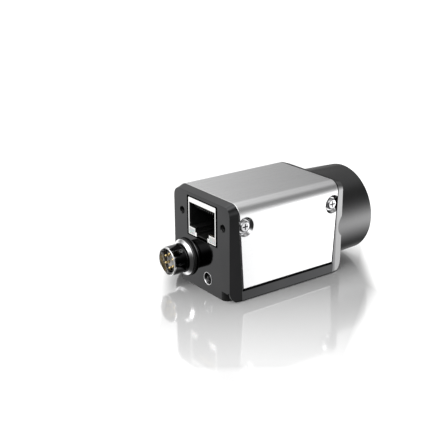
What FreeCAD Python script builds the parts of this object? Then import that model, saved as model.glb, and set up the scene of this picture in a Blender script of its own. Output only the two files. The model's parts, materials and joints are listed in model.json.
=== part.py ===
"""Machine vision camera: a 29 x 29 x 42 mm housing made of one black casting
(lens flange with its barrel, floor tray and rear wall) closed by a bent light
metal cover, with a screw-thread lens mount in front and a network jack, a
round connector and a status light behind.

Everything is drawn in a local frame: u to the right as seen from behind,
v towards the lens, w up, with w = 0 on the floor of the tray and v = 0 at the
upper end of the joint between rear wall and cover.  At export the part is
turned half a turn about the vertical and shifted, so that in the part frame
the lens looks along -Y, the connector panel faces +Y, +Z is up and the origin
is the bottom centre of the bounding box.
"""
import FreeCAD, Part
import os, math
from FreeCAD import Vector, Placement, Rotation, Matrix

os.makedirs("parts", exist_ok=True)

# ---------------------------------------------------------------- dimensions
# housing section (mm)
BODY_W = 29.0            # outer width
BODY_H = 29.0            # outer height
R_TOP = 3.3              # outer bend radius of the cover, upper corners
R_BOT = 0.7              # lower long edges of the casting
SHEET = 1.2              # thickness of the cover
COVER_LEN = 36.8         # length of the cover along its top
LEAN = 0.0646            # how far both cover ends lean inwards, per mm of height
COVER_BOTTOM = 3.9       # lower edge of the cover sides
JOINT_GAP = 0.25         # shadow gap along the cover ends
RAIL_TOP = 3.25          # top of the side rails of the tray
# rear wall
REAR_FACE = -2.6         # v of the connector panel
FACE_INSET = 0.8         # bevel of the rear and front faces
R_FACE_TOP = 2.6
R_FACE_BOT = 0.6
REAR_INNER = 0.0         # inner face of the rear wall
# front wall and barrel
FRONT_FACE = 39.4        # v of the front face of the lens flange
FRONT_INNER = 36.2
AXIS_W = 14.5            # height of the optical axis
RIM_V = 51.9             # v of the lens seat
BARREL_R_BASE = 14.07
BARREL_R_RIM = 13.65
THREAD_R = 12.7          # 1 inch - 32 lens thread, nominal radius
THREAD_END = 46.6
MOUTH_CHAMFER_R = 13.05
MOUTH_CHAMFER_V = 51.35
RELIEF_R = 12.95
RELIEF_V = 45.9
INNER_BORE_R = 11.8
FILTER_SHELF = 41.0
FILTER_STEP = 42.6
FILTER_SEAT_R = 10.9
APERTURE_R = 8.6
FLANGE_BACK = 17.526     # lens seat to image plane
POCKET_DEPTH = 1.3       # corner pockets of the lens flange
# joint tongue that the cover slides over
TONGUE = 1.05            # inset of the tongue from the outer outline plus sheet
TONGUE_U = 13.2
TONGUE_TOP = 27.7
TONGUE_REAR = 4.6
TONGUE_FRONT = 32.3
CAV_U = 11.6
CAV_TOP = 26.9
FLOOR_T = 2.0
LIP_TOP = 5.2
# cover screws
SCREW_W = 22.4
SCREW_V_REAR = 2.24
SCREW_V_FRONT = 34.65
DIMPLE_R = 2.85           # pressed recess around each cover screw
DIMPLE_FLOOR_R = 2.0
DIMPLE_D = 0.9
DIMPLE_WALL = 0.75       # metal left under the recess
SCREW_R = 1.0
SCREW_HEAD_R = 1.72
SCREW_HEAD_H = 0.8
# network jack on the rear wall
JACK_U = 0.5             # the jack and its lock threads sit this far off the middle
JACK_HALF = 6.7
JACK_W0, JACK_W1 = 15.58, 26.85
JACK_LEN = 13.6
JACK_GAP_U, JACK_GAP_W = 0.73, 0.4
JACK_OPEN_HALF = 6.28
JACK_OPEN_W0, JACK_OPEN_W1 = 17.9, 25.4
JACK_CAV_HALF = 6.0      # cavity for the plug
JACK_SHEET = 0.25
LOCK_U, LOCK_W, LOCK_R, LOCK_DEPTH = 10.0, 21.85, 1.0, 3.2
LOCK_CHAMFER = 0.2
# round connector
RC_U, RC_W = -8.0, 7.6
RC_LEN = 6.8             # from the panel to its tip
RC_R = 4.4
RC_HOLE_R = 4.5
# status light
LED_U, LED_W = 3.2, 4.4
LED_RING_R = 1.95
LED_RING_IN = 1.4
# corner notches of both end walls
NOTCH_U, NOTCH_H, NOTCH_D = 9.8, 2.75, 2.3      # inner side, height, depth
NOTCH_WALL = 13.0        # inner side of the thin outer wall
R_CORNER = 3.1           # rounding of the outer wall, seen from the side
CORNER_STEP = 0.15       # the rounded wall starts this far behind the face
# mounting threads underneath
BASE_HOLE_R = 1.5
BASE_HOLE_D = 2.9
BASE_PITCH_U = 20.0
BASE_PITCH_V = 22.0
BASE_MID_V = 18.0
# circuit boards (v of rear side), all 1.6 thick
PCB_T = 1.6
PCB_U = 11.3
PCB_W0, PCB_W1 = 2.9, 26.5
PCB_W0_INNER = 3.9       # lower edge of the boards above the base bosses
V_IFACE = 11.0
V_POWER = 17.6
V_PROC = 24.8
V_SENSOR = 31.7

Y_CENTRE = (RIM_V + (REAR_FACE - RC_LEN)) / 2.0   # local v of the frame origin
OUT = Placement(Vector(0, Y_CENTRE, 0), Rotation(Vector(0, 0, 1), 180))


# ------------------------------------------------------------------- helpers
def box(u0, u1, v0, v1, w0, w1):
    return Part.makeBox(u1 - u0, v1 - v0, w1 - w0, Vector(u0, v0, w0))


def cyl_v(r, v0, v1, u=0.0, w=0.0):
    """cylinder along v"""
    return Part.makeCylinder(r, v1 - v0, Vector(u, v0, w), Vector(0, 1, 0))


def cone_v(r0, r1, v0, v1, u=0.0, w=0.0):
    return Part.makeCone(r0, r1, v1 - v0, Vector(u, v0, w), Vector(0, 1, 0))


def ring_v(ro, ri, v0, v1, u=0.0, w=0.0):
    return cyl_v(ro, v0, v1, u, w).cut(cyl_v(ri, v0 - 1, v1 + 1, u, w))


def rr_wire(uh, w0, w1, rt, rb, v, shear=0.0):
    """rounded outline in the plane v; with shear the plane leans with height"""
    def p(u, w):
        return Vector(u, v, w)
    def arc(cu, cw, r, a0, a1):
        am = math.radians((a0 + a1) / 2.0)
        a0, a1 = math.radians(a0), math.radians(a1)
        q = [p(cu + r * math.cos(a), cw + r * math.sin(a)) for a in (a0, am, a1)]
        return Part.Arc(*q).toShape()
    def line(a, b):
        return Part.LineSegment(a, b).toShape()
    e = [line(p(-uh + rb, w0), p(uh - rb, w0)),
         arc(uh - rb, w0 + rb, rb, -90, 0),
         line(p(uh, w0 + rb), p(uh, w1 - rt)),
         arc(uh - rt, w1 - rt, rt, 0, 90),
         line(p(uh - rt, w1), p(-uh + rt, w1)),
         arc(-uh + rt, w1 - rt, rt, 90, 180),
         line(p(-uh, w1 - rt), p(-uh, w0 + rb)),
         arc(-uh + rb, w0 + rb, rb, 180, 270)]
    wire = Part.Wire(e)
    if shear:
        m = Matrix()
        m.A23 = -shear          # v' = v + shear * (BODY_H - w)
        m.A24 = shear * BODY_H
        wire = wire.transformGeometry(m)
    return wire


def prism(wire, dv):
    return Part.Face(wire).extrude(Vector(0, dv, 0))


def fuse(shapes):
    s = shapes[0]
    if len(shapes) > 1:
        s = s.multiFuse(shapes[1:])
    return s.removeSplitter()


def revolve_v(profile, u=0.0, w=0.0):
    """profile: list of (r, v); revolved about the axis along v at (u, w)"""
    pts = [Vector(u + r, v, w) for r, v in profile]
    pts.append(pts[0])
    f = Part.Face(Part.makePolygon(pts))
    return f.revolve(Vector(u, 0, w), Vector(0, 1, 0), 360)


made = {}


def out(name, shape):
    s = shape.copy()
    s.Placement = OUT.multiply(s.Placement)
    if not s.isValid():
        print("NOT VALID", name)
    made[name] = s
    s.exportStep("parts/%s.step" % name)
    bb = s.BoundBox
    print("%-26s solids %2d vol %9.2f  X %.2f..%.2f Y %.2f..%.2f Z %.2f..%.2f" % (
        name, len(s.Solids), s.Volume, bb.XMin, bb.XMax, bb.YMin, bb.YMax, bb.ZMin, bb.ZMax))


def end_plane_cut(v_at_top, lean, keep_front):
    """half space on one side of a plane that leans with height"""
    big = 80.0
    pts = []
    for w in (-10.0, 40.0):
        pts.append((v_at_top + lean * (BODY_H - w), w))
    (va, wa), (vb, wb) = pts
    far = big if keep_front else -big
    poly = Part.makePolygon([Vector(-40, va, wa), Vector(-40, vb, wb), Vector(-40, far, wb),
                             Vector(-40, far, wa), Vector(-40, va, wa)])
    return Part.Face(poly).extrude(Vector(80, 0, 0))


# ------------------------------------------------------------------- chassis
HW = BODY_W / 2.0
rear_outer = Part.makeLoft([
    rr_wire(HW - FACE_INSET, 0.0, BODY_H - FACE_INSET, R_FACE_TOP, R_FACE_BOT, REAR_FACE),
    rr_wire(HW, 0.0, BODY_H, R_TOP, R_BOT, -JOINT_GAP, LEAN)], True, True)
front_outer = Part.makeLoft([
    rr_wire(HW, 0.0, BODY_H, R_TOP, R_BOT, COVER_LEN + JOINT_GAP, -LEAN),
    rr_wire(HW - FACE_INSET, 0.0, BODY_H - FACE_INSET, R_FACE_TOP, R_FACE_BOT, FRONT_FACE)], True, True)

# tray between the end walls, full width up to the rail top
tray = prism(rr_wire(HW, 0.0, BODY_H, R_TOP, R_BOT, -0.2), COVER_LEN + 0.4)
tray = tray.common(box(-20, 20, -0.2, COVER_LEN + 0.2, -1, RAIL_TOP))
tray = tray.common(end_plane_cut(-JOINT_GAP - 0.4, LEAN, True)).common(
    end_plane_cut(COVER_LEN + JOINT_GAP + 0.4, -LEAN, False))
# lip inside the cover, tongues at both ends
lip = box(-TONGUE_U, TONGUE_U, 0.2, COVER_LEN - 0.4, 0.6, LIP_TOP)
tongue_r = prism(rr_wire(TONGUE_U, 0.6, TONGUE_TOP, R_TOP - SHEET - 0.1, 1.6, -1.0), TONGUE_REAR + 1.0)
tongue_f = prism(rr_wire(TONGUE_U, 0.6, TONGUE_TOP, R_TOP - SHEET - 0.1, 1.6, TONGUE_FRONT), 38.0 - TONGUE_FRONT)
barrel = cone_v(BARREL_R_BASE + (FRONT_FACE - 37.0) * (BARREL_R_BASE - BARREL_R_RIM) / (RIM_V - FRONT_FACE),
                BARREL_R_RIM, 37.0, RIM_V, 0, AXIS_W)
body = fuse([rear_outer, front_outer, tray, lip, tongue_r, tongue_f])

# corner pockets of the lens flange, cut before the barrel is joined
pocket = prism(rr_wire(HW - FACE_INSET - 0.55, 0.75, BODY_H - FACE_INSET - 0.55, R_FACE_TOP - 0.5, 1.3,
                       FRONT_FACE - POCKET_DEPTH), POCKET_DEPTH + 3)
web_cone = []
for a in (45, 135, 225, 315):
    # flat facet that rises from the pocket floor to the barrel on each diagonal
    ca, sa = math.cos(math.radians(a)), math.sin(math.radians(a))
    def P(r, t, v):
        return Vector(ca * r - sa * t, v, AXIS_W + sa * r + ca * t)
    fl = FRONT_FACE - POCKET_DEPTH
    prof = [P(8.0, -8.0, fl), P(16.35, -8.0, fl), P(13.2, -8.0, fl + 2.9), P(8.0, -8.0, fl + 2.9), P(8.0, -8.0, fl)]
    d = Vector(-sa * 16.0, 0, ca * 16.0)
    web_cone.append(Part.Face(Part.makePolygon(prof)).extrude(d))
body = body.cut(pocket)
# the facets stay inside the outline of the flange
limit = prism(rr_wire(HW - FACE_INSET - 0.5, 0.7, BODY_H - FACE_INSET - 0.5, R_FACE_TOP - 0.5, 1.3, 37.0), FRONT_FACE - 37.0)
webs = [wc.common(limit) for wc in web_cone]
body = fuse([body, barrel] + webs)

# hollow of the tray, of the walls and of the tongues
cav = box(-CAV_U, CAV_U, REAR_INNER, FRONT_INNER, FLOOR_T, CAV_TOP)
cav_mid = box(-12.3, 12.3, TONGUE_REAR, TONGUE_FRONT, FLOOR_T, 40)
open_top = box(-20, 20, TONGUE_REAR, TONGUE_FRONT, LIP_TOP, 40)
bosses = []
for su in (-1, 1):
    for (v0, v1) in ((REAR_INNER - 0.1, TONGUE_REAR), (33.35, FRONT_INNER + 0.1)):
        bosses.append(box(min(su * 9.7, su * TONGUE_U), max(su * 9.7, su * TONGUE_U), v0, v1, 19.9, 24.9))
posts = []
POSTS = [(-8.9, 5.4), (8.9, 5.4), (-8.9, 24.6), (8.9, 24.6)]
for (pu, pw) in POSTS:
    posts.append(cyl_v(1.75, V_SENSOR + PCB_T, FRONT_INNER + 0.1, pu, pw))
body = body.cut(fuse([cav, cav_mid])).cut(open_top)
# bosses for the base threads inside the tray
for su in (-1, 1):
    for sv in (-1, 1):
        posts.append(Part.makeCylinder(2.6, 3.1, Vector(su * BASE_PITCH_U / 2, BASE_MID_V + sv * BASE_PITCH_V / 2, 0.6)))
body = fuse([body] + bosses + posts)

cuts = []
# lens bore
cuts.append(cone_v(THREAD_R, MOUTH_CHAMFER_R, MOUTH_CHAMFER_V, RIM_V + 1e-3, 0, AXIS_W))
cuts.append(cyl_v(THREAD_R, RELIEF_V, RIM_V - 0.1, 0, AXIS_W))
cuts.append(cyl_v(RELIEF_R, RELIEF_V, THREAD_END, 0, AXIS_W))
cuts.append(cyl_v(INNER_BORE_R, FILTER_STEP, RELIEF_V + 0.5, 0, AXIS_W))
cuts.append(cyl_v(FILTER_SEAT_R, FILTER_SHELF, FILTER_STEP + 0.5, 0, AXIS_W))
cuts.append(cyl_v(APERTURE_R, FRONT_INNER + 1.2, FILTER_SHELF + 0.5, 0, AXIS_W))
cuts.append(box(-8.9, 8.9, FRONT_INNER - 1.0, FRONT_INNER + 1.3, AXIS_W - 8.9, AXIS_W + 8.9))
# jack opening
cuts.append(box(JACK_U - JACK_HALF - JACK_GAP_U, JACK_U + JACK_HALF + JACK_GAP_U, REAR_FACE - 1,
                TONGUE_REAR + 1, JACK_W0 - JACK_GAP_W, JACK_W1 + JACK_GAP_W))
# lock threads beside the jack
for su in (-1, 1):
    cuts.append(cyl_v(LOCK_R, REAR_FACE - 1, REAR_FACE + LOCK_DEPTH, JACK_U + su * LOCK_U, LOCK_W))
    cuts.append(cone_v(LOCK_R + 0.201, LOCK_R, REAR_FACE - 0.001, REAR_FACE + LOCK_CHAMFER, JACK_U + su * LOCK_U, LOCK_W))
# round connector: panel hole and relief behind the wall
cuts.append(cyl_v(RC_HOLE_R, REAR_FACE - 1, REAR_INNER + 0.5, RC_U, RC_W))
cuts.append(cyl_v(4.7, REAR_INNER, TONGUE_REAR + 1, RC_U, RC_W))
# status light hole
cuts.append(cyl_v(LED_RING_R, REAR_FACE - 1, REAR_FACE + 0.9, LED_U, LED_W))
cuts.append(cyl_v(LED_RING_IN, REAR_FACE - 1, REAR_INNER + 1, LED_U, LED_W))
# side threads of the cover screws
for su in (-1, 1):
    for v in (SCREW_V_REAR, SCREW_V_FRONT):
        cuts.append(Part.makeCylinder(SCREW_R, 4.7, Vector(su * (HW + 0.1), v, SCREW_W), Vector(-su, 0, 0)))
        # socket for the pressed recess of the cover
        cuts.append(Part.makeCylinder(DIMPLE_FLOOR_R + 0.85, 5.0, Vector(su * (HW - DIMPLE_D - DIMPLE_WALL - 0.05 + 5.0), v, SCREW_W), Vector(-su, 0, 0)).common(
            box(-20, 20, v - 5, v + 5, 0, 60).common(end_plane_cut(-JOINT_GAP, LEAN, True)).common(end_plane_cut(COVER_LEN + JOINT_GAP, -LEAN, False))))
# post threads for the sensor board
for (pu, pw) in POSTS:
    cuts.append(cyl_v(0.8, V_SENSOR + PCB_T - 0.5, FRONT_INNER + 0.6, pu, pw))
# corner notches
for su in (-1, 1):
    a, b = sorted((su * NOTCH_U, su * NOTCH_WALL))
    c, d = sorted((su * (NOTCH_WALL - 0.01), su * 16.0))
    for (face, sv) in ((REAR_FACE, 1), (FRONT_FACE, -1)):
        v0, v1 = sorted((face - sv * 1.0, face + sv * NOTCH_D))
        post = Part.makeCylinder(NOTCH_D, 6.0, Vector(su * NOTCH_U, face + sv * NOTCH_D, -2.0))
        cuts.append(box(a, b, v0, v1, -1, NOTCH_H).cut(post))
        v0, v1 = sorted((face - sv * 1.0, face + sv * (R_CORNER + CORNER_STEP)))
        edge = Part.makeCylinder(R_CORNER, 40.0, Vector(-20, face + sv * (R_CORNER + CORNER_STEP), R_CORNER), Vector(1, 0, 0))
        cuts.append(box(c, d, v0, v1, -1, R_CORNER).cut(edge))
# base threads
for su in (-1, 1):
    for sv in (-1, 1):
        cuts.append(Part.makeCylinder(BASE_HOLE_R, BASE_HOLE_D + 1, Vector(su * BASE_PITCH_U / 2,
                    BASE_MID_V + sv * BASE_PITCH_V / 2, -1.0)))
for c in cuts:
    body = body.cut(c)
body = body.removeSplitter()
out("chassis", body)

# ----------------------------------------------------------------- top cover
outer = prism(rr_wire(HW, -5.0, BODY_H, R_TOP, 1.0, -2.0), COVER_LEN + 4)
inner = prism(rr_wire(HW - SHEET, -7.0, BODY_H - SHEET, R_TOP - SHEET, 0.5, -3.0), COVER_LEN + 6)
cover = outer.cut(inner)
cover = cover.common(box(-20, 20, -5, COVER_LEN + 5, COVER_BOTTOM, 40))
cover = cover.common(end_plane_cut(0.0, LEAN, True)).common(end_plane_cut(COVER_LEN, -LEAN, False))
# fine rounding of the outer cut edges
sel = []
for e in cover.Edges:
    mids = [e.valueAt(e.FirstParameter + t * (e.LastParameter - e.FirstParameter)) for t in (0.1, 0.5, 0.9)]
    on_out = all(abs(abs(m.x) - HW) < 1e-3 or abs(m.z - BODY_H) < 1e-3 or
                 abs(math.hypot(abs(m.x) - (HW - R_TOP), m.z - (BODY_H - R_TOP)) - R_TOP) < 1e-3 for m in mids)
    on_end = all(abs(m.y - LEAN * (BODY_H - m.z)) < 1e-3 for m in mids) or \
        all(abs(m.y - (COVER_LEN - LEAN * (BODY_H - m.z))) < 1e-3 for m in mids) or \
        all(abs(m.z - COVER_BOTTOM) < 1e-3 for m in mids)
    if on_out and on_end:
        sel.append(e)
try:
    c2 = cover.makeFillet(0.18, sel)
    if c2.isValid() and len(c2.Solids) == 1:
        cover = c2.Solids[0]
    else:
        print("cover rounding left out")
except Exception as ex:
    print("cover rounding failed", ex)
ends = end_plane_cut(0.0, LEAN, True).common(end_plane_cut(COVER_LEN, -LEAN, False))
for su in (-1, 1):
    for v in (SCREW_V_REAR, SCREW_V_FRONT):
        pad = Part.makeCylinder(DIMPLE_FLOOR_R + 0.75, DIMPLE_D + DIMPLE_WALL - 0.3, Vector(su * (HW - 0.3), v, SCREW_W), Vector(-su, 0, 0))
        cover = cover.fuse(pad.common(ends))
        cone = Part.makeCone(DIMPLE_R + (DIMPLE_R - DIMPLE_FLOOR_R) / DIMPLE_D * 0.5, DIMPLE_FLOOR_R, DIMPLE_D + 0.5,
                             Vector(su * (HW + 0.5), v, SCREW_W), Vector(-su, 0, 0))
        hole = Part.makeCylinder(SCREW_R + 0.1, 4, Vector(su * (HW + 1), v, SCREW_W), Vector(-su, 0, 0))
        cover = cover.cut(cone).cut(hole)
cover = cover.removeSplitter()
out("top_cover", cover)

# -------------------------------------------------------------- cover screws
screws = []
for su in (-1, 1):
    for v in (SCREW_V_REAR, SCREW_V_FRONT):
        seat = HW - DIMPLE_D
        ax = Vector(-su, 0, 0)
        # head with a broad rounded rim about a flat face

        def q(x, r):
            return Vector(su * (seat + x), v, SCREW_W + r)
        head = Part.Face(Part.Wire([
            Part.makeLine(q(0, 0), q(0, SCREW_HEAD_R)), Part.makeLine(q(0, SCREW_HEAD_R), q(0.3, SCREW_HEAD_R)),
            Part.Arc(q(0.3, SCREW_HEAD_R), q(0.64, 1.53), q(SCREW_HEAD_H, 1.15)).toShape(),
            Part.makeLine(q(SCREW_HEAD_H, 1.15), q(SCREW_HEAD_H, 0)), Part.makeLine(q(SCREW_HEAD_H, 0), q(0, 0))]))
        head = head.revolve(Vector(0, v, SCREW_W), Vector(1, 0, 0), 360)
        if head.Volume < 0:
            head.reverse()
        shank = Part.makeCylinder(SCREW_R - 0.03, 3.7, Vector(su * (seat + 0.1), v, SCREW_W), ax)
        s = head.fuse(shank).removeSplitter()
        # cross recess, tapering inwards
        top = seat + SCREW_HEAD_H
        for (dy, dz) in ((0.95, 0.17), (0.17, 0.95)):
            b0 = [Vector(su * (top + 0.01), v - dy, SCREW_W - dz), Vector(su * (top + 0.01), v + dy, SCREW_W - dz),
                  Vector(su * (top + 0.01), v + dy, SCREW_W + dz), Vector(su * (top + 0.01), v - dy, SCREW_W + dz)]
            k = 0.45
            b1 = [Vector(su * (top - 0.6), v + (p.y - v) * (k if dy > dz else 1), SCREW_W + (p.z - SCREW_W) * (k if dz > dy else 1)) for p in b0]
            w0 = Part.makePolygon(b0 + [b0[0]])
            w1 = Part.makePolygon(b1 + [b1[0]])
            s = s.cut(Part.makeLoft([w0, w1], True, True))
        screws.append(s.Solids[0])
out("cover_screws", Part.makeCompound(screws))

# --------------------------------------------------- filter in the lens bore
out("filter_gasket", ring_v(10.7, 9.2, FILTER_SHELF, FILTER_SHELF + 0.5, 0, AXIS_W))
out("filter_glass", cyl_v(10.75, FILTER_SHELF + 0.5, FILTER_STEP, 0, AXIS_W))
ret = ring_v(11.7, 9.7, FILTER_STEP, FILTER_STEP + 1.0, 0, AXIS_W)
ret = ret.cut(cone_v(9.7, 10.5, FILTER_STEP + 0.3, FILTER_STEP + 1.001, 0, AXIS_W))
for s in (-1, 1):
    ret = ret.cut(box(min(s * 10.0, s * 13.0), max(s * 10.0, s * 13.0), FILTER_STEP + 0.5, FILTER_STEP + 2, AXIS_W - 0.5, AXIS_W + 0.5))
out("filter_retainer", ret)

# -------------------------------------------------------------------- boards
def board(v0, holes=(), cutouts=(), w1=PCB_W1, w0=PCB_W0):
    b = box(-PCB_U, PCB_U, v0, v0 + PCB_T, w0, w1)
    vert = [e for e in b.Edges if abs(e.tangentAt(e.FirstParameter).y) > 0.99]
    b = b.makeFillet(0.8, vert)
    for (u, w, r) in holes:
        b = b.cut(cyl_v(r, v0 - 1, v0 + PCB_T + 1, u, w))
    for c in cutouts:
        b = b.cut(c)
    return b


SPACERS = [(-9.4, 24.3), (9.4, 5.2)]
sensor_board = board(V_SENSOR, [(u, w, 0.85) for (u, w) in POSTS])
out("sensor_board", sensor_board)
SH = V_SENSOR + PCB_T
image_plane = RIM_V - FLANGE_BACK
pkg = box(-7.2, 7.2, SH, image_plane + 0.95, AXIS_W - 7.2, AXIS_W + 7.2)
pkg = pkg.cut(box(-5.8, 5.8, image_plane - 0.5, image_plane + 2, AXIS_W - 5.0, AXIS_W + 5.0))
out("sensor_package", pkg)
out("sensor_die", box(-4.9, 4.9, image_plane - 0.5, image_plane, AXIS_W - 4.1, AXIS_W + 4.1))
out("sensor_lid_glass", box(-6.6, 6.6, image_plane + 0.95, image_plane + 1.65, AXIS_W - 6.0, AXIS_W + 6.0))
seal = box(-8.7, 8.7, SH, FRONT_INNER + 1.3, AXIS_W - 8.7, AXIS_W + 8.7).cut(
    box(-7.4, 7.4, SH - 1, FRONT_INNER + 3, AXIS_W - 7.4, AXIS_W + 7.4))
# relief of the seal around the board posts
for (pu, pw) in POSTS:
    seal = seal.cut(cyl_v(1.95, SH - 1, FRONT_INNER + 3, pu, pw))
out("sensor_light_seal", seal)
sb = []
for (pu, pw) in POSTS:
    h = cyl_v(1.4, V_SENSOR - 0.9, V_SENSOR, pu, pw)
    sk = cyl_v(0.77, V_SENSOR - 0.1, V_SENSOR + PCB_T + 2.9, pu, pw)
    s = h.fuse(sk).removeSplitter()
    s = s.cut(cyl_v(0.45, V_SENSOR - 1.0, V_SENSOR - 0.4, pu, pw))
    sb.append(s.Solids[0])
out("sensor_board_screws", Part.makeCompound(sb))

out("processor_board", board(V_PROC, [(u, w, 0.85) for (u, w) in SPACERS]))
out("processor_chip", box(-6.0, 6.0, V_PROC - 1.7, V_PROC, 12.2, 24.2))
out("memory_chips", Part.makeCompound([box(-9.6, -1.0, V_PROC + PCB_T, V_PROC + PCB_T + 1.1, 15.6, 22.6),
                                       box(1.0, 9.6, V_PROC + PCB_T, V_PROC + PCB_T + 1.1, 15.6, 22.6)]))
out("power_board", board(V_POWER, [(u, w, 0.85) for (u, w) in SPACERS]))
ind = []
for (u, w) in ((-5.2, 18.4), (5.2, 18.4)):
    c = box(u - 3.0, u + 3.0, V_POWER + PCB_T, V_POWER + PCB_T + 3.0, w - 3.0, w + 3.0)
    c = c.makeChamfer(0.7, [e for e in c.Edges if abs(e.tangentAt(e.FirstParameter).y) > 0.99])
    ind.append(c)
out("power_inductors", Part.makeCompound(ind))
out("interface_board", board(V_IFACE, [(u, w, 0.85) for (u, w) in SPACERS] +
                             [(RC_U + 2.2 * math.cos(math.radians(60 * k + 30)), RC_W + 2.2 * math.sin(math.radians(60 * k + 30)), 0.42) for k in range(6)]))
out("ethernet_magnetics", box(-6.6, 6.6, V_IFACE + PCB_T, V_IFACE + PCB_T + 3.9, 15.2, 22.9))
# plug and socket pairs between the boards
con = []
for (v0, v1) in ((V_IFACE + PCB_T, V_POWER), (V_POWER + PCB_T, V_PROC), (V_PROC + PCB_T, V_SENSOR)):
    con.append(box(-5.2, 7.5, v0, v1, 7.2, 11.2))
out("board_connectors", Part.makeCompound(con))
sp = []
for (u, w) in SPACERS:
    for (v0, v1) in ((V_IFACE + PCB_T, V_POWER), (V_POWER + PCB_T, V_PROC)):
        pts = [Vector(u + 1.9 * math.cos(math.radians(60 * k)), v0, w + 1.9 * math.sin(math.radians(60 * k))) for k in range(7)]
        hexa = Part.Face(Part.makePolygon(pts)).extrude(Vector(0, v1 - v0, 0))
        sp.append(hexa.cut(cyl_v(0.82, v0 - 1, v1 + 1, u, w)))
out("board_spacers", Part.makeCompound(sp))
sr = []
for (u, w) in SPACERS:
    rod = cyl_v(0.78, V_IFACE - 0.4, V_PROC + PCB_T + 0.4, u, w)
    h0 = cyl_v(1.5, V_IFACE - 1.2, V_IFACE, u, w)
    h1 = cyl_v(1.5, V_PROC + PCB_T, V_PROC + PCB_T + 1.0, u, w)
    sr.append(rod.fuse(h0).fuse(h1).removeSplitter().Solids[0])
out("board_tie_screws", Part.makeCompound(sr))

# -------------------------------------------------------------- network jack
JF = REAR_FACE - 0.05
JB = V_IFACE
t = JACK_SHEET


def jack_out(name, shape):
    """the jack is drawn about u = 0 and moved to its place on the panel"""
    c = shape.copy()
    c.translate(Vector(JACK_U, 0, 0))
    out(name, c)


shield = box(-JACK_HALF, JACK_HALF, JF, JB, JACK_W0, JACK_W1)
shield = shield.makeFillet(0.3, [e for e in shield.Edges if abs(e.tangentAt(e.FirstParameter).y) > 0.99])
shield = shield.cut(box(-JACK_HALF + t, JACK_HALF - t, JF + t, JB + 1, JACK_W0 + t, JACK_W1 - t))
# front of the shield: mouth with the latch slot, open below, and the two light windows
SLOT = [(3.43, 16.78), (2.67, 15.0)]
mouth = box(-JACK_OPEN_HALF, JACK_OPEN_HALF, JF - 1, JF + 2, JACK_OPEN_W0, JACK_OPEN_W1)
mouth = mouth.fuse(box(-SLOT[0][0], SLOT[0][0], JF - 1, JF + 2, SLOT[0][1], JACK_OPEN_W0 + 0.5))
mouth = mouth.fuse(box(-SLOT[1][0], SLOT[1][0], JF - 1, JF + 2, JACK_W0 - 1, SLOT[0][1] + 0.5))
shield = shield.cut(mouth)
WIN = (3.78, 6.3, 15.9, 17.55)     # light windows |u| and w range
for su in (-1, 1):
    a, b = sorted((su * WIN[0], su * WIN[1]))
    shield = shield.cut(box(a, b, JF - 1, JF + 1, WIN[2], WIN[3]))
    # lip above each window, turned inwards and slightly up
    a, b = sorted((su * (SLOT[0][0] + 0.02), su * (JACK_OPEN_HALF - 0.35)))
    pts = [(JF, 17.72), (JF, 17.9), (JF + 0.25, 17.99), (JF + 0.95, 18.28), (JF + 1.02, 18.1), (JF + 0.25, 17.76),
           (JF + 0.2, 17.72)]
    lip_w = Part.makePolygon([Vector(a, v, w) for v, w in pts] + [Vector(a, pts[0][0], pts[0][1])])
    shield = shield.fuse(Part.Face(lip_w).extrude(Vector(b - a, 0, 0)))
    # side of the latch slot, turned inwards
    a, b = sorted((su * SLOT[1][0], su * (SLOT[1][0] + t)))
    shield = shield.fuse(box(a, b, JF + 0.1, JF + 0.95, JACK_W0 + t + 0.1, SLOT[0][1]))
jack_out("jack_shield", shield.removeSplitter())

ins = box(-JACK_HALF + t + 0.02, JACK_HALF - t - 0.02, JF + t + 0.02, JB, JACK_W0 + t + 0.02, JACK_W1 - t - 0.02)
CAV_BACK = 8.2
ins = ins.cut(box(-JACK_CAV_HALF, JACK_CAV_HALF, JF - 1, CAV_BACK, JACK_OPEN_W0 + 0.05, 23.6))
ins = ins.cut(box(-SLOT[0][0] + 0.05, SLOT[0][0] - 0.05, JF - 1, CAV_BACK - 1, SLOT[0][1] + 0.05, JACK_OPEN_W0 + 0.5))
ins = ins.cut(box(-SLOT[1][0] + 0.05, SLOT[1][0] - 0.05, JF - 1, CAV_BACK - 3, JACK_W0 + t + 0.3, SLOT[0][1] + 0.5))
# slots of the contact springs and the roof space above them
for k in range(8):
    uc = (k - 3.5) * 1.02
    ins = ins.cut(box(uc - 0.33, uc + 0.33, JF - 1, CAV_BACK + 0.4, 23.0, 24.6))
    ins = ins.cut(box(uc - 0.2, uc + 0.2, JF - 1, CAV_BACK + 0.4, 24.5, 24.9))
ins = ins.cut(box(-JACK_CAV_HALF, JACK_CAV_HALF, JF - 1, JF + 1.6, 23.0, JACK_OPEN_W1 - 0.05))
for su in (-1, 1):
    a, b = sorted((su * (WIN[0] + 0.05), su * (WIN[1] - 0.05)))
    ins = ins.cut(box(a, b, JF - 1, JB + 1, JACK_W0, WIN[3] - 0.05))
    # room for the turned lips of the shield
    a, b = sorted((su * (SLOT[0][0] - 0.1), su * (JACK_CAV_HALF + 0.1)))
    ins = ins.cut(box(a, b, JF - 1, JF + 1.15, 17.62, 18.5))
    a, b = sorted((su * (SLOT[1][0] - 0.1), su * (SLOT[1][0] + t + 0.1)))
    ins = ins.cut(box(a, b, JF - 1, JF + 1.05, JACK_W0, SLOT[0][1] + 0.1))
jack_out("jack_insert", ins.removeSplitter())

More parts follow.
